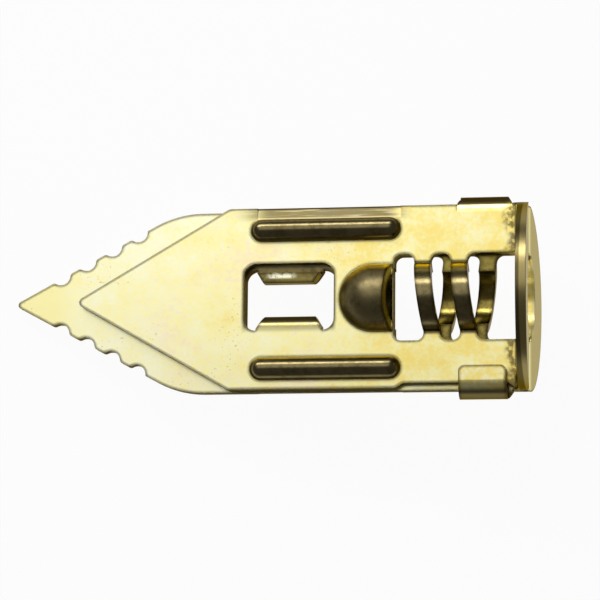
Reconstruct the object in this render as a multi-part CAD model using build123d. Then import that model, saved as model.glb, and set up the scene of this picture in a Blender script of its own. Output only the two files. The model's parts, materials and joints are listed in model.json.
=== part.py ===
from build123d import *
import os
from math import atan2, cos, degrees, radians, sin, sqrt, tan

# Hammer-in drywall anchor: two stamped sheet-steel leaves, each folded round the edge of the other.
# Millimetres. Each leaf is first built in the anchor's own frame: the tip points to -X, the outer
# face of the head crosses the axis at X = 0, and the leaves meet at Z = 0. The pair is then laid down
# on the rim of its head and the point of its toothed tip, with +Z up.

# sheet and fit
sheet = 0.80
leaf_gap = 0.05
clip_play = 0.20
cut_overrun = 0.08

# leaf blank, lengths measured from the head's outer face
clip_side_half_width = 7.05
free_side_setback = 0.15
toothed_apex = 39.90
toothed_edge_angle = 28.3
toothed_shoulder_round = 7.7
toothed_apex_round = 0.30
plain_apex = 34.95
plain_shoulder = 22.90
plain_shoulder_round = 0.60
plain_apex_round = 0.40

# saw edge of the toothed tip
scallop_count = 4
scallop_radius = 0.75
scallop_depth = 0.48
scallop_pitch = 2.29
first_scallop = 4.30
crest_round = 0.32

# head flange
head_radius = 7.15
head_lean = 2.7
bend_inner_radius = 0.40
screw_hole_radius = 3.30

# screw nest: dome and thread strips
nest_outer_radius = 2.72
nest_wall = 0.72
thread_pitch = 2.77
first_strip = 3.50
strip_width = 1.25
strip_slant = 0.72
slot_end = 10.20
slot_corner_round = 0.58
dome_open_end = 10.30
dome_top_setback = 0.80
dome_far_end = 14.36

# window and its bent tab
window_near = 14.78
window_far = 21.68
window_free_side = 2.75
window_tab_side = 2.38
window_round = 0.90
tab_root_width = 5.10
tab_end_width = 3.84
tab_face = 1.20
tab_inner_radius = 0.25
tab_reach = 0.40

# stiffening ribs
rib_near = 9.68
rib_far = 21.20
rib_offset = 5.32
rib_radius = 0.86
rib_groove_radius = 0.50
rib_wall = 0.70
coin_drop = 0.16
coin_far = 20.70

# clip tab and the notch that clears the other leaf's clip
clip_near = 1.60
clip_far = 5.20
clip_crest_far = 4.75
clip_root_near = 1.17
clip_root_far = 5.42
clip_reach = 5.35
clip_bulge = 0.75
clip_end_round = 0.45
notch_far = 10.10
notch_run = 0.60
notch_round = 0.30
notch_clearance = 0.15

# worked out from the sizes above
free_side_half_width = clip_side_half_width - free_side_setback
inner_face = leaf_gap / 2
outer_face = inner_face + sheet
bend_outer_radius = bend_inner_radius + sheet
bend_centre_z = outer_face + bend_inner_radius
lean = radians(head_lean)
bend_x = tan(lean) * (bend_centre_z - bend_outer_radius * sin(lean)) - bend_outer_radius * cos(lean)
clip_gap = sheet + leaf_gap + clip_play
clip_inner_radius = clip_gap / 2
clip_outer_radius = clip_inner_radius + sheet
clip_centre_z = inner_face - clip_inner_radius
clip_centre_y = clip_side_half_width + clip_bulge - clip_outer_radius
half_leaf_rise = clip_centre_z + inner_face
notch_half_width = clip_centre_y + sqrt(clip_inner_radius**2 - half_leaf_rise**2) - notch_clearance
strip_lean = strip_slant / (2 * nest_outer_radius)
nest_inner_radius = nest_outer_radius - nest_wall
window_middle = (window_near + window_far) / 2
reach = toothed_apex + head_radius
margin = 2 * sheet


def block(x0, x1, y0, y1, z0, z1):
    """A box between two corners."""
    return Pos((x0 + x1) / 2, (y0 + y1) / 2, (z0 + z1) / 2) * Box(abs(x1 - x0), abs(y1 - y0), abs(z1 - z0))


def axial_cylinder(radius, x0, x1, z=0.0, y=0.0):
    """A cylinder lying along the anchor's axis."""
    return Pos((x0 + x1) / 2, y, z) * Rot(0, 90, 0) * Cylinder(radius, abs(x1 - x0))


def plate(face):
    """A blank of sheet thickness, from the leaf's inner face to its outer face."""
    return Pos(0, 0, inner_face) * extrude(face, sheet)


def corner_near(face, x, y):
    """The corner of a flat outline that lies nearest to a point."""
    return min(face.vertices(), key=lambda v: (v.X - x) ** 2 + (v.Y - y) ** 2)


def body_outline(tip_points):
    """The blank's outline: tip, clip side with its root, head end, and free side with its notch."""
    points = tip_points + [
        (-notch_far, -free_side_half_width),
        (-notch_far + notch_run, -notch_half_width),
        (-clip_near, -notch_half_width),
        (bend_x, -free_side_half_width),
        (bend_x, clip_centre_y),
        (-clip_root_far, clip_centre_y),
        (-clip_root_far, clip_side_half_width),
    ]
    face = make_face(Polyline(*points, close=True))
    for x, y in points[len(tip_points):len(tip_points) + 3]:
        face = fillet(corner_near(face, x, y), notch_round)
    return face


def plain_outline():
    """The short leaf: a plain triangular tip."""
    face = body_outline([
        (-plain_shoulder, clip_side_half_width),
        (-plain_apex, 0),
        (-plain_shoulder, -free_side_half_width),
    ])
    face = fillet(corner_near(face, -plain_apex, 0), plain_apex_round)
    face = fillet(corner_near(face, -plain_shoulder, clip_side_half_width), plain_shoulder_round)
    return fillet(corner_near(face, -plain_shoulder, -free_side_half_width), plain_shoulder_round)


def toothed_outline():
    """The long leaf: straight edges scalloped into saw crests, then a wide rounded shoulder."""
    slope = tan(radians(toothed_edge_angle))
    clip_shoulder = toothed_apex - clip_side_half_width / slope
    free_shoulder = toothed_apex - free_side_half_width / slope
    face = body_outline([
        (-clip_shoulder, clip_side_half_width),
        (-toothed_apex, 0),
        (-free_shoulder, -free_side_half_width),
    ])
    face = fillet(corner_near(face, -clip_shoulder, clip_side_half_width), toothed_shoulder_round)
    face = fillet(corner_near(face, -free_shoulder, -free_side_half_width), toothed_shoulder_round)
    face = fillet(corner_near(face, -toothed_apex, 0), toothed_apex_round)
    outward = scallop_radius - scallop_depth
    angle = radians(toothed_edge_angle)
    for side in (1, -1):
        for index in range(scallop_count):
            along = first_scallop + index * scallop_pitch
            x = -toothed_apex + along * cos(angle) - outward * sin(angle)
            y = side * (along * sin(angle) + outward * cos(angle))
            face -= Pos(x, y) * Circle(scallop_radius)
    half_chord = sqrt(scallop_radius**2 - outward**2)
    crests = []
    for side in (1, -1):
        for index in range(scallop_count):
            for end in (-1, 1):
                along = first_scallop + index * scallop_pitch + end * half_chord
                if index < scallop_count - 1 or end < 0:
                    crests.append((-toothed_apex + along * cos(angle), side * along * sin(angle)))
    for x, y in crests:
        face = fillet(corner_near(face, x, y), crest_round)
    return face


def slanted_slot(near, far, near_slant, far_slant):
    """A slot across the nest whose long sides follow the slant of the strips beside it."""
    half = screw_hole_radius
    points = [
        (-near - near_slant * half, half),
        (-far - far_slant * half, half),
        (-far + far_slant * half, -half),
        (-near + near_slant * half, -half),
    ]
    face = make_face(Polyline(*points, close=True))
    return fillet(face.vertices(), slot_corner_round)


def nest_slots(strips):
    """The openings before, between and behind the thread strips."""
    half = strip_width / 2
    ends = [slanted_slot(-margin, strips[0] - half, 0, strip_lean)]
    ends += [slanted_slot(a + half, b - half, strip_lean, strip_lean) for a, b in zip(strips, strips[1:])]
    ends += [slanted_slot(strips[-1] + half, slot_end, strip_lean, 0)]
    return ends


def window_opening():
    """The rounded window that the other leaf's tab reaches through."""
    width = window_far - window_near
    height = window_free_side + window_tab_side
    shape = RectangleRounded(width, height, window_round)
    return Pos(-window_middle, (window_free_side - window_tab_side) / 2) * shape


def thread_strip(station):
    """One half-round strip, slanted like a turn of the screw's thread."""
    tube = axial_cylinder(nest_outer_radius, -slot_end, 0) - axial_cylinder(nest_inner_radius, -slot_end, 0)
    tube &= block(-slot_end, 0, -head_radius, head_radius, inner_face, head_radius)
    half = strip_width / 2
    run = nest_outer_radius
    band = make_face(Polyline(
        (-station - half - strip_lean * run, run),
        (-station + half - strip_lean * run, run),
        (-station + half + strip_lean * run, -run),
        (-station - half + strip_lean * run, -run),
        close=True,
    ))
    return tube & extrude(band, head_radius)


def round_bar(radius, far, near, near_round=True):
    """A bar along the axis, turned with a spherical end at the tip side and, if asked, at the head side."""
    far_end = RadiusArc((far - radius, 0), (far, radius), radius)
    side = Line(far_end @ 1, (near, radius))
    if near_round:
        near_end = RadiusArc((near, radius), (near + radius, 0), radius)
    else:
        near_end = Line((near, radius), (near, 0))
    profile = make_face([far_end, side, near_end, Line(near_end @ 1, far_end @ 0)])
    return revolve(profile, Axis.X)


def dome_solid(radius):
    """A half cylinder closed at the tip side by a quarter sphere."""
    centre = dome_far_end - sqrt(nest_outer_radius**2 - outer_face**2)
    shape = round_bar(radius, -centre, -dome_open_end, near_round=False)
    floor = inner_face if radius == nest_outer_radius else inner_face - sheet
    return shape & block(-reach, reach, -head_radius, head_radius, floor, head_radius)


def dome_mouth():
    """What is sheared off the dome's open end, further back at the crown than at the leaf."""
    profile = make_face(Polyline(
        (-dome_open_end, outer_face),
        (-dome_open_end - dome_top_setback, nest_outer_radius + sheet),
        (-dome_open_end + sheet, nest_outer_radius + sheet),
        (-dome_open_end + sheet, outer_face),
        close=True,
    ))
    return extrude(Plane.XZ * profile, head_radius, both=True)


def rib_bar(radius, z, y):
    """The round bar that shapes a rib or the groove behind it."""
    return Pos(0, y, z) * round_bar(radius, -rib_far + rib_radius, -rib_near - rib_radius)


def rib_groove(y):
    """The groove that the punch leaves behind a rib."""
    z = outer_face + rib_radius - rib_wall - rib_groove_radius
    near = -rib_near - rib_radius
    far = -rib_far + rib_radius
    groove = axial_cylinder(rib_groove_radius, far, near, z, y)
    return groove + block(far, near, y - rib_groove_radius, y + rib_groove_radius, inner_face - sheet, z)


def coined_edge():
    """The shallow slope coined between the rib and the edge on the clip side."""
    inboard = rib_offset + rib_radius
    outboard = clip_side_half_width + sheet
    drop = coin_drop * (outboard - inboard) / (clip_side_half_width - inboard)
    profile = make_face(Polyline(
        (inboard, outer_face),
        (outboard, outer_face - drop),
        (outboard, outer_face + sheet),
        (inboard, outer_face + sheet),
        close=True,
    ))
    wedge = extrude(Plane.YZ * profile, coin_far - rib_near)
    return Pos(-coin_far, 0, 0) * wedge


def head_flange():
    """The bend and the half-round flange that sits against the board."""
    rise = head_radius + sheet
    inner = CenterArc((bend_x, bend_centre_z), bend_inner_radius, -90, 90 - head_lean)
    outer = CenterArc((bend_x, bend_centre_z), bend_outer_radius, -90, 90 - head_lean)
    up = Vector(sin(lean), cos(lean)) * rise
    sides = Polyline(inner @ 1, inner @ 1 + up, outer @ 1 + up, outer @ 1)
    root = Line(outer @ 0, inner @ 0)
    profile = make_face([inner, sides, outer, root])
    return extrude(Plane.XZ * profile, head_radius, both=True)


def window_tab():
    """The tab bent out of the window's long side, towards the other leaf."""
    outer = tab_inner_radius + sheet
    y = -tab_face - outer
    z = outer_face - outer
    quarter = block(-window_far, -window_near, y, -tab_face, z, outer_face)
    bar = Pos(-window_middle, y, z) * Rot(0, 90, 0) * Cylinder(outer, tab_root_width)
    bore = Pos(-window_middle, y, z) * Rot(0, 90, 0) * Cylinder(tab_inner_radius, tab_root_width + sheet)
    half = tab_root_width / 2
    end = -outer_face - tab_reach
    tab = (bar - bore) & quarter
    tab += block(-window_middle - half, -window_middle + half, y + tab_inner_radius, -tab_face, end, z)
    root_y = -window_tab_side - sheet
    tab += block(-window_middle - half, -window_middle + half, root_y, y, inner_face, outer_face)
    taper = make_face(Polyline(
        (-window_middle - half, root_y),
        (-window_middle + half, root_y),
        (-window_middle + half, y),
        (-window_middle + tab_end_width / 2, -tab_face),
        (-window_middle - tab_end_width / 2, -tab_face),
        (-window_middle - half, y),
        close=True,
    ))
    return tab & extrude(taper, head_radius, both=True)


def clip_tab():
    """The tab on the clip side, folded back round the edge of the other leaf."""
    tube = Rot(0, 90, 0) * (Cylinder(clip_outer_radius, reach) - Cylinder(clip_inner_radius, reach))
    ring = Pos(0, clip_centre_y, clip_centre_z) * tube
    outermost = clip_centre_y + clip_outer_radius
    upper = ring & block(-clip_root_far, bend_x, clip_centre_y, outermost, inner_face, outer_face)
    lower = ring & block(-clip_far, -clip_near, clip_centre_y, outermost, -head_radius, inner_face)
    bottom = clip_centre_z - clip_outer_radius
    leg_face = Pos(-(clip_near + clip_far) / 2, (clip_reach + outermost) / 2) * Rectangle(
        clip_far - clip_near, outermost - clip_reach)
    for x in (-clip_near, -clip_far):
        leg_face = fillet(corner_near(leg_face, x, clip_reach), clip_end_round)
    leg = Pos(0, 0, bottom) * extrude(leg_face, sheet)
    leg &= block(-clip_far, -clip_near, clip_reach, clip_centre_y, -head_radius, 0)
    fan = [
        (-clip_root_far, 0),
        (-clip_root_far, clip_side_half_width),
        (-clip_crest_far, outermost),
        (-clip_near, outermost),
        (-clip_root_near, clip_side_half_width),
        (-clip_root_near, 0),
    ]
    root = Line(fan[5], fan[0])
    near_side = Polyline(fan[3], fan[4], fan[5])
    far_side = RadiusArc(fan[1], fan[2], clip_outer_radius)
    planform = make_face([root, Line(fan[0], fan[1]), far_side, Line(fan[2], fan[3]), near_side])
    upper &= Pos(0, 0, clip_centre_z) * extrude(planform, head_radius)
    upper += block(bend_x, -clip_root_near, clip_centre_y, clip_side_half_width, inner_face, outer_face)
    return upper + lower + leg


def leaf(outline, strips):
    """One stamping, with its outer side up."""
    face = outline - window_opening()
    for slot in nest_slots(strips):
        face -= slot
    body = plate(face)
    body -= axial_cylinder((nest_outer_radius + nest_inner_radius) / 2, -slot_end - cut_overrun, bend_x)
    for station in strips:
        body += thread_strip(station)
    body += dome_solid(nest_outer_radius)
    body -= dome_solid(nest_inner_radius)
    body -= dome_mouth()
    for y in (rib_offset, -rib_offset):
        body += rib_bar(rib_radius, outer_face, y) & block(-reach, 0, -reach, reach, inner_face, reach)
        body -= rib_groove(y)
    body -= coined_edge()
    body += window_tab()
    flange = head_flange() & axial_cylinder(head_radius, -bend_outer_radius - sheet, margin)
    flange -= axial_cylinder(screw_hole_radius, -bend_outer_radius - sheet, margin)
    flange -= block(bend_x - sheet, margin, -screw_hole_radius, screw_hole_radius, 0, bend_centre_z)
    body += flange
    return body + clip_tab()


strip_half_pitch = thread_pitch / 2
toothed = leaf(toothed_outline(), [first_strip, first_strip + thread_pitch])
offset_strip = first_strip + strip_half_pitch
plain = leaf(plain_outline(), [offset_strip, offset_strip + thread_pitch])
toothed = Rot(180, 0, 0) * toothed

# The pair lies on the inner rim of the lower flange half and on the underside of the toothed point.
point_radius_back = toothed_apex_round / sin(radians(toothed_edge_angle)) - toothed_apex_round
point_x = -toothed_apex + point_radius_back
rim_x = head_radius * sin(lean) - sheet * cos(lean)
rim_z = -head_radius * cos(lean) - sheet * sin(lean)
rest_slope = atan2(-rim_z - outer_face, rim_x - point_x)
lift = -(rim_x * sin(rest_slope) + rim_z * cos(rest_slope))
lying = Pos(0, 0, lift) * Rot(0, -degrees(rest_slope), 0)
pair = {"toothed_leaf": lying * toothed, "plain_leaf": lying * plain}
extents = Compound(list(pair.values())).bounding_box()
middle = (extents.min.X + extents.max.X) / 2

os.makedirs("parts", exist_ok=True)
for name, shape in pair.items():
    export_step(Pos(-middle, 0, 0) * shape, f"parts/{name}.step")
    print(name, "volume", round(shape.volume, 2), "solids", len(shape.solids()))
print("rest slope", round(degrees(rest_slope), 4), "lift", round(lift, 4), "middle", round(middle, 4))
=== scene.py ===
import json
import math

import bpy
from mathutils import Matrix, Vector

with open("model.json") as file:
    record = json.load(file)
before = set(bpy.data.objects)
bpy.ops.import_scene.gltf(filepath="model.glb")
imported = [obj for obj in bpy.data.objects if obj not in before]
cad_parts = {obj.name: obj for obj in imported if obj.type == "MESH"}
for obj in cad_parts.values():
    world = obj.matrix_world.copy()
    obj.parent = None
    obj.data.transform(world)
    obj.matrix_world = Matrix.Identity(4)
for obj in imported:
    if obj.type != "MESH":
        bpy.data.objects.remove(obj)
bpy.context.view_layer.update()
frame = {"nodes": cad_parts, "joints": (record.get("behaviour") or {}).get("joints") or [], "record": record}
print("frame loaded:", ", ".join(sorted(frame["nodes"])))

# the anchor's own axes: x out of the head, y across the leaves, z out of the plain leaf,
# zero where the axis leaves the head
mounts = {mount["name"]: mount for mount in frame["record"]["mounts"]}
hole = mounts["screw_hole"]
holeDepth = 0.0003  # the stated point of the hole lies this far behind the head's outer face
alongAxis = Vector(hole["axis"]).normalized()
acrossAxis = Vector(frame["joints"][0]["axis"]).normalized()
outAxis = alongAxis.cross(acrossAxis).normalized()
headPoint = Vector(hole["pos_m"]) + alongAxis * holeDepth
toAnchor = Matrix((alongAxis, acrossAxis, outAxis))  # turns world directions into the anchor's own


def inWorld(x, y, z):
    # a direction given along the anchor's own axes
    return alongAxis * x + acrossAxis * y + outAxis * z


class Wire:
    # one socket of a shader tree; plus, minus and times on wires add Math nodes
    def __init__(self, tree, socket=None):
        self.tree = tree
        self.socket = socket

    def make(self, kind, settings, inputs, output=0):
        # adds any other node: settings first, then the values or links of its sockets
        node = self.tree.nodes.new(kind)
        for key, value in settings.items():
            setattr(node, key, value)
        for key, value in inputs.items():
            if isinstance(value, Wire):
                self.tree.links.new(value.socket, node.inputs[key])
            else:
                node.inputs[key].default_value = value
        return Wire(self.tree, node.outputs[output]) if node.outputs else None

    def maths(self, operation, first, second=0.0):
        return self.make("ShaderNodeMath", {"operation": operation}, {0: first, 1: second})

    def __add__(self, other):
        return self.maths("ADD", self, other)

    def __radd__(self, other):
        return self.maths("ADD", other, self)

    def __sub__(self, other):
        return self.maths("SUBTRACT", self, other)

    def __rsub__(self, other):
        return self.maths("SUBTRACT", other, self)

    def __mul__(self, other):
        return self.maths("MULTIPLY", self, other)

    def __rmul__(self, other):
        return self.maths("MULTIPLY", other, self)

    def size(self):
        return self.maths("ABSOLUTE", self)

    def orElse(self, other):
        # the larger of the two, which joins two masks
        return self.maths("MAXIMUM", self, other)

    def rise(self, low, high):
        # 0 below low, 1 above high, smooth between; a high under low makes it fall
        settings = {"interpolation_type": "SMOOTHSTEP"}
        ends = {"Value": self, "From Min": min(low, high), "From Max": max(low, high)}
        rising = self.make("ShaderNodeMapRange", settings, ends)
        return rising if high > low else 1 - rising

    def blend(self, under, over):
        # a colour between under and over, by this wire
        return self.make("ShaderNodeMix", {"data_type": "RGBA"}, {0: self, 6: under, 7: over}, 2)


def colour(red, green, blue):
    # a colour as seen on a screen, 0 to 255, turned into linear light
    shares = [channel / 255 for channel in (red, green, blue)]
    linear = [share / 12.92 if share < 0.0405 else ((share + 0.055) / 1.055) ** 2.4 for share in shares]
    return (*linear, 1.0)


# colours and finish of the yellow-passivated zinc, and the painted shades and highlights laid on it; edge
# widths in metres
zinc = {
    "pale": colour(255, 253, 218),
    "yellow": colour(255, 245, 172),
    "gold": colour(252, 229, 131),
    "blush": colour(254, 232, 190),
    "olive": colour(74, 64, 36),
    # painted shade: drawn metal's base is darkened to stand in for the dark room its curves mirror
    "drawnPaintedShade": colour(120, 109, 76),
    # painted olive-gold: painted shade on the nest's inner face and the tabs, and a painted reflection on
    # the strips' upper half
    "nest": colour(146, 131, 66),
    # painted shade on the clip's fold
    "foldShade": colour(112, 101, 66),
    # painted shade on the coined strip, which leans away from the light
    "coined": colour(98, 86, 56),
    # lighter streaks along the coined strip, and the painted highlight line along the rib
    "streakAndHighlight": colour(178, 164, 124),
    # dark brown of the cut walls, also used as painted shade on the cut edges
    "cutAndEdgeShade": colour(60, 50, 27),
    # painted shade in the bend at the head's root
    "bendShade": colour(104, 88, 46),
    "speck": colour(160, 140, 80),
    "rim": colour(94, 84, 52),
    "burnished": colour(158, 143, 94),
    "headFace": colour(228, 220, 168),
    "grazing": (0.50, 0.43, 0.26, 1.0),
    "flatRoughness": 0.30,
    "drawnRoughness": 0.24,
    "domeRoughness": 0.40,
    "cutRoughness": 0.50,
    "edgeRound": 0.00009,
    "edgeShadeWidth": 0.00042,
    "bumpStrength": 0.12,
    "bumpHeight": 0.00002,
}

# where each finish begins and ends, in millimetres: back from the head, across from the axis, and out
# from the plane where the leaves meet
marks = {
    "clouds": (6.0, 1.6, 0.35, 0.12),  # widths of the wide, middle, fine and grain noises
    "headBack": (1.0, 1.7),
    "nestEnd": (11.2, 10.6),
    "nestHalf": (3.7, 3.3),
    "stripsHalf": (2.95, 2.70),
    "domeHalf": (3.6, 3.2),
    "windowHalf": (2.85, 2.60),
    "windowNear": (14.5, 14.9),
    "windowFar": (22.0, 21.6),
    "drawnFrom": (0.88, 1.10),
    "foldFrom": (6.90, 7.35),
    "coinFrom": (5.9, 6.3),
    "rimFrom": (7.00, 7.10),
}


def passivatedZinc(name, look):
    # clouds: the sum of a wide, a middle and a fine noise, rising towards the point, takes the flats from
    # gold to yellow to pale, with blush patches; drawn metal, the nest and the tabs get painted grey-olive
    # shade and painted reflections; walls are brown, and edges where the rounded normal leaves the true one
    # and the bend get painted brown shade
    material = bpy.data.materials.new(name)
    material.use_nodes = True
    tree = material.node_tree
    tree.nodes.clear()
    place = Wire(tree).make("ShaderNodeTexCoord", {}, {}, "Object")
    spot = place.make("ShaderNodeMapping", {}, {
        "Vector": place, "Location": toAnchor @ headPoint * -1000, "Rotation": toAnchor.to_euler("XYZ"),
        "Scale": (1000, 1000, 1000)})
    flips = (-1, look["side"], look["side"])
    own = spot.make("ShaderNodeVectorMath", {"operation": "MULTIPLY"}, {0: spot, 1: flips})
    split = own.make("ShaderNodeSeparateXYZ", {}, {"Vector": own})
    back, across, out = (Wire(tree, socket) for socket in split.socket.node.outputs)
    shift = (look["seed"], look["seed"] * 2, 0)
    shifted = own.make("ShaderNodeVectorMath", {"operation": "ADD"}, {0: own, 1: shift})

    def cloud(width, detail=3.0, roughness=0.55, offset=0.0):
        away = (offset, -offset, offset)
        where = shifted.make("ShaderNodeVectorMath", {"operation": "ADD"}, {0: shifted, 1: away})
        return where.make("ShaderNodeTexNoise", {}, {
            "Vector": where, "Scale": 1 / width, "Detail": detail, "Roughness": roughness})

    wideWidth, midWidth, fineWidth, grainWidth = marks["clouds"]
    wide = cloud(wideWidth)
    mid = cloud(midWidth, offset=31.0)
    fine = cloud(fineWidth, offset=57.0)
    grain = cloud(grainWidth, detail=2.0, offset=83.0)

    # flat metal
    yellowing = wide * 0.4 + mid * 0.35 + fine * 0.25 + back * look["paling"]
    flat = yellowing.rise(0.44, 0.64).blend(zinc["gold"], zinc["yellow"])
    paling = wide * 0.3 + mid * 0.3 + fine * 0.4 + back * look["paling"] * 0.6 + look["paleness"]
    atPoint = back.rise(33.5, 37.0) * look["goldPoint"]
    flat = (paling.rise(0.50, 0.78) * (1 - atPoint)).blend(flat, zinc["pale"])
    blushes = (cloud(3.4, offset=113.0) * 0.55 + fine * 0.45).rise(0.48, 0.66)
    blushMask = blushes * back.rise(10, 17) * back.rise(33, 25)
    flat = (blushMask * 0.65).blend(flat, zinc["blush"])
    specks = cloud(0.20, detail=1.0, roughness=0.3, offset=151.0).rise(0.66, 0.74)
    speckMask = specks * cloud(4.0, offset=7.0).rise(0.54, 0.66)
    flat = (speckMask * 0.5).blend(flat, zinc["speck"])

    # painted shade on the drawn metal of ribs, dome and strips, on the window's tabs and on the flat inside
    # the other leaf's screw nest; a painted reflection on the strips' upper half and a painted highlight on
    # one tab
    aside = across.size()
    behindHead = back.rise(*marks["headBack"])
    inNest = aside.rise(*marks["nestHalf"]) * back.rise(*marks["nestEnd"]) * behindHead
    windowLength = back.rise(*marks["windowNear"]) * back.rise(*marks["windowFar"])
    inWindow = aside.rise(*marks["windowHalf"]) * windowLength
    inStrips = aside.rise(*marks["stripsHalf"]) * back.rise(9.4, 9.2) * back.rise(2.6, 3.0)
    drawnMask = (out.rise(*marks["drawnFrom"]) * behindHead).orElse(inStrips)
    domeLength = back.rise(10.6, 11.0) * back.rise(14.6, 14.2)
    domeMask = aside.rise(*marks["domeHalf"]) * domeLength * out.rise(0.84, 0.90)
    # painted shade on the tabs in the window
    tabShadeMask = inWindow * aside.rise(2.62, 2.05) * 0.8
    # where the painted shade of drawn metal, of the nest's inner face and of the tabs goes
    drawnAndShadedMask = drawnMask.orElse((inNest + inWindow) * look["innerSeen"]).orElse(tabShadeMask)
    # painted shade over the nest where its inside shows, a painted reflection on the strips' upper half, and
    # the same painted shade on the tabs
    nestShadeAndSheenMask = (inNest * look["innerSeen"]).orElse(inNest * across.rise(0.9, 2.4) * 0.45)
    nestShadeAndSheenMask = nestShadeAndSheenMask.orElse(tabShadeMask * 0.7)
    drawnAndShadedColour = nestShadeAndSheenMask.blend(zinc["drawnPaintedShade"], zinc["nest"])
    drawnAndShadedColour = ((mid * 0.5 + fine * 0.5).rise(0.44, 0.64) * 0.5).blend(drawnAndShadedColour, zinc["olive"])
    # a painted highlight in pale on the tab that shows through the other leaf's window
    tabHighlightLength = back.rise(17.4, 18.2) * back.rise(20.1, 19.3)
    tabHighlight = tabHighlightLength * across.rise(-2.25, -2.10) * across.rise(-1.45, -1.65)
    drawnAndShadedColour = (tabHighlight * look["innerSeen"] * fine.rise(0.36, 0.56)).blend(drawnAndShadedColour, zinc["pale"])
    shade = drawnAndShadedMask.blend(flat, drawnAndShadedColour)

    # painted shade on the clip's fold, and on the strip coined along the rib, streaked lengthwise with a
    # painted highlight line along the rib
    foldShadeMask = across.rise(*marks["foldFrom"]) * back.rise(8.0, 6.5)
    shade = foldShadeMask.blend(shade, zinc["foldShade"])
    coinLength = back.rise(8.6, 10.8) * back.rise(22.8, 19.6)
    coinShadeMask = across.rise(*marks["coinFrom"]) * coinLength * out.rise(0.2, 0.3)
    stretched = own.make("ShaderNodeVectorMath", {"operation": "MULTIPLY"}, {0: own, 1: (0.16, 3.4, 1)})
    streaks = stretched.make("ShaderNodeTexNoise", {}, {"Vector": stretched, "Scale": 2.2, "Detail": 3.0})
    # lengthwise streaks plus a painted highlight line along the rib's root
    streaksAndHighlightLine = streaks.rise(0.50, 0.70).orElse(across.rise(6.34, 6.26) * 0.8)
    coined = streaksAndHighlightLine.blend(zinc["coined"], zinc["streakAndHighlight"])
    shade = (coinShadeMask * 0.9).blend(shade, coined)

    # cut walls in their own dark brown; painted shade on the cut edges and in the bend
    coinZone = across.rise(5.9, 6.2) * across.rise(6.96, 6.88)  # the coined strip has no cut edges
    coinZone = coinZone * back.rise(8.4, 9.4) * back.rise(23.0, 22.0)
    wallMask = out.rise(0.04, 0.09) * out.rise(0.76, 0.66) * behindHead * (1 - coinZone)
    shade = (wallMask * 0.9).blend(shade, zinc["cutAndEdgeShade"])
    rounded = place.make("ShaderNodeBevel", {"samples": 6}, {"Radius": zinc["edgeRound"]})
    wideRound = place.make("ShaderNodeBevel", {"samples": 6}, {"Radius": zinc["edgeShadeWidth"]})
    true = place.make("ShaderNodeNewGeometry", {}, {}, "True Normal")
    turned = wideRound.make("ShaderNodeVectorMath", {"operation": "DOT_PRODUCT"}, {0: wideRound, 1: true}, 1)
    # painted shade on the cut edges, where the wide rounded normal turns away and would mirror the dark room
    edgeShadeMask = (1 - turned).rise(0.002, 0.045) * (1 - coinZone)
    shade = (edgeShadeMask * 0.88).blend(shade, zinc["cutAndEdgeShade"])
    # painted shade, mottled, in the bend where the leaf meets the head
    bendPlace = back + (mid - 0.5) * 1.6
    bendShadeMask = bendPlace.rise(0.9, 1.05) * bendPlace.rise(1.95, 1.35) * fine.rise(0.30, 0.58)
    shade = (bendShadeMask * 0.85).blend(shade, zinc["bendShade"])

    # the head's rim, dark with two burnished edges, and its face
    span = across * across + out * out
    fromAxis = span.maths("SQRT", span)
    rimMask = fromAxis.rise(*marks["rimFrom"]) * back.rise(1.2, 1.0)
    frontEdge = back.rise(0.26, 0.14)
    rearEdge = back.rise(0.66, 0.72) * back.rise(0.86, 0.80) * fine.rise(0.30, 0.50)
    rim = ((frontEdge + rearEdge) * 0.8).blend(zinc["rim"], zinc["burnished"])
    shade = rimMask.blend(shade, rim)
    shade = (back.rise(0.10, 0.02) * (1 - rimMask)).blend(shade, zinc["headFace"])

    roughness = drawnMask * (zinc["drawnRoughness"] - zinc["flatRoughness"]) + zinc["flatRoughness"]
    roughness = roughness + (fine - 0.5) * 0.10
    roughness = roughness + domeMask * (zinc["domeRoughness"] - zinc["drawnRoughness"])
    roughness = roughness + wallMask * (zinc["cutRoughness"] - zinc["flatRoughness"])
    facing = coinZone.blend(rounded, place.make("ShaderNodeNewGeometry", {}, {}, "Normal"))
    bumped = place.make("ShaderNodeBump", {}, {
        "Strength": zinc["bumpStrength"], "Distance": zinc["bumpHeight"], "Height": grain * 0.6 + fine * 0.4,
        "Normal": facing})
    finish = place.make("ShaderNodeBsdfPrincipled", {}, {
        "Base Color": shade, "Metallic": 1.0, "Roughness": roughness, "Specular Tint": zinc["grazing"],
        "Normal": bumped})
    finish.make("ShaderNodeOutputMaterial", {}, {"Surface": finish})
    return material


leafFinish = {
    "toothed_leaf": {
        "side": -1.0,  # which way the leaf faces along the anchor's z
        "seed": 11.0,
        "paling": 0.006,  # how fast the flats pale towards the point
        "paleness": 0.06,
        "goldPoint": 0.85,
        "innerSeen": 1.0,  # 1 where the inside of the nest shows through the other leaf; there it gets painted shade and a painted highlight
    },
    "plain_leaf": {
        "side": 1.0,
        "seed": 4.0,
        "paling": 0.008,
        "paleness": 0.0,
        "goldPoint": 0.0,
        "innerSeen": 0.0,
    },
}
for nodeName, look in leafFinish.items():
    material = passivatedZinc(nodeName.replace("_leaf", "LeafZinc"), look)
    leafMesh = frame["nodes"][nodeName]
    if not leafMesh.material_slots:
        leafMesh.data.materials.append(material)
    for materialSlot in leafMesh.material_slots:
        materialSlot.material = material
print("leaves dressed")

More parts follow.
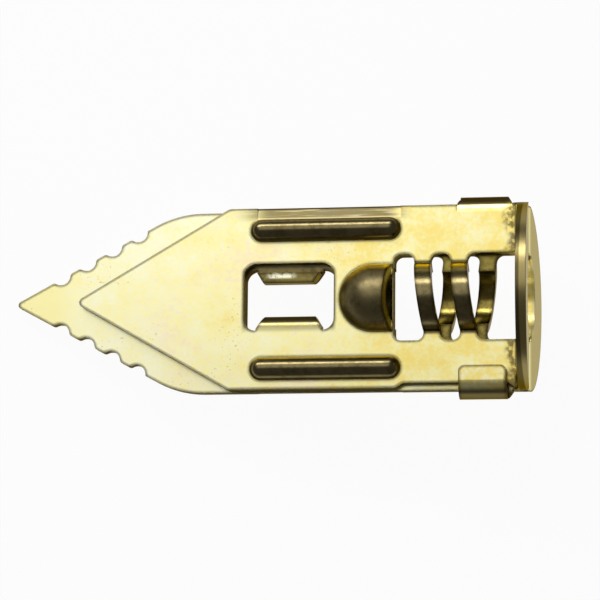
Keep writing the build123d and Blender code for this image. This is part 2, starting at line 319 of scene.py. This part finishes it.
studio = {
    "floorHalf": 3.0,
    "floorColour": (0.86, 0.86, 0.84, 1.0),
    "floorGlow": 0.95,
    "world": 0.14,
    "boxDistance": 0.34,
    "boxTurn": 29.0,  # how far the soft box stands from the line of sight, towards +y, in degrees
    "boxSize": (0.26, 0.19),
    "boxLevel": 1.10,
    "stripTurn": 59.0,
    "stripSize": (0.30, 0.075),
    "stripLevel": 9.0,
}


def paleFloor():
    # a matt white sheet; floorGlow is the share that the camera and the gloss see as lit paper
    half = studio["floorHalf"]
    mesh = bpy.data.meshes.new("floor")
    corners = [(-half, -half, 0), (half, -half, 0), (half, half, 0), (-half, half, 0)]
    mesh.from_pydata(corners, [], [(0, 1, 2, 3)])
    floor = bpy.data.objects.new("floor", mesh)
    bpy.context.scene.collection.objects.link(floor)
    material = bpy.data.materials.new("paleSheet")
    material.use_nodes = True
    tree = material.node_tree
    tree.nodes.clear()
    start = Wire(tree)
    matt = start.make("ShaderNodeBsdfDiffuse", {}, {"Color": studio["floorColour"]})
    lit = start.make("ShaderNodeEmission", {}, {"Color": (1, 1, 1, 1), "Strength": 1.0})
    seen = start.make("ShaderNodeLightPath", {}, {}, "Is Camera Ray")
    node = seen.socket.node
    seen = seen + Wire(tree, node.outputs["Is Glossy Ray"]) + Wire(tree, node.outputs["Is Transmission Ray"])
    share = seen.maths("MINIMUM", seen, 1.0) * studio["floorGlow"]
    paper = share.make("ShaderNodeMixShader", {}, {0: share, 1: matt, 2: lit})
    paper.make("ShaderNodeOutputMaterial", {}, {"Surface": paper})
    mesh.materials.append(material)


def softBox(name, direction, distance, size, level):
    # a rectangular lamp that looks at the target; level is its own brightness, 1 being white
    lamp = bpy.data.lights.new(name, "AREA")
    lamp.shape = "RECTANGLE"
    lamp.size, lamp.size_y = size
    lamp.energy = level * math.pi * size[0] * size[1]
    box = bpy.data.objects.new(name, lamp)
    bpy.context.scene.collection.objects.link(box)
    direction = direction.normalized()
    side = Vector((1, 0, 0))
    up = direction.cross(side).normalized()
    side = up.cross(direction)
    turn = Matrix((side, up, direction)).transposed().to_4x4()
    box.matrix_world = Matrix.Translation(target + direction * distance) @ turn


view = {
    "distance": 0.2287,
    "lens": 180.0,
    "sensor": 36.0,
    "slope": 9.23,  # the line of sight leans this far from the leaf's face towards the head, in degrees
    "tilt": 9.0,  # and this far towards -y
    "roll": 0.5,  # the camera's own turn about the line of sight
    "target": (-17.5, 0.05, 0.0),  # millimetres on the anchor's own axes
}
slope, tilt = math.radians(view["slope"]), math.radians(view["tilt"])
rightWay = inWorld(math.cos(slope), 0, -math.sin(slope))
level = inWorld(math.sin(slope), 0, math.cos(slope))
sight = acrossAxis * -math.sin(tilt) + level * math.cos(tilt)
upWay = sight.cross(rightWay)
cameraTurn = Matrix.Rotation(math.radians(view["roll"]), 3, sight)
rightWay, upWay = cameraTurn @ rightWay, cameraTurn @ upWay
target = headPoint + inWorld(*view["target"]) / 1000

camera = bpy.data.objects.new("camera", bpy.data.cameras.new("camera"))
camera.data.lens = view["lens"]
camera.data.sensor_width = view["sensor"]
camera.data.clip_start = 0.005
facingTarget = Matrix((rightWay, upWay, sight)).transposed().to_4x4()
camera.matrix_world = Matrix.Translation(target + sight * view["distance"]) @ facingTarget
bpy.context.scene.collection.objects.link(camera)
bpy.context.scene.camera = camera

paleFloor()
boxTurn = math.radians(studio["boxTurn"])
mirror = outAxis * (2 * outAxis.dot(sight)) - sight  # where the flat of a leaf mirrors the camera
lean = mirror.dot(rightWay)
boxWay = sight * math.cos(boxTurn) + upWay * math.sin(boxTurn) + rightWay * lean
softBox("backBox", boxWay, studio["boxDistance"], studio["boxSize"], studio["boxLevel"])
stripTurn = math.radians(studio["stripTurn"])
stripWay = sight * math.cos(stripTurn) + upWay * math.sin(stripTurn) + rightWay * lean
softBox("stripBox", stripWay, studio["boxDistance"], studio["stripSize"], studio["stripLevel"])

world = bpy.data.worlds.new("room")
world.use_nodes = True
background = world.node_tree.nodes["Background"]
background.inputs["Color"].default_value = (1.0, 0.99, 0.97, 1.0)
background.inputs["Strength"].default_value = studio["world"]
bpy.context.scene.world = world
bpy.context.scene.view_settings.view_transform = "Standard"
print("stage and camera set")
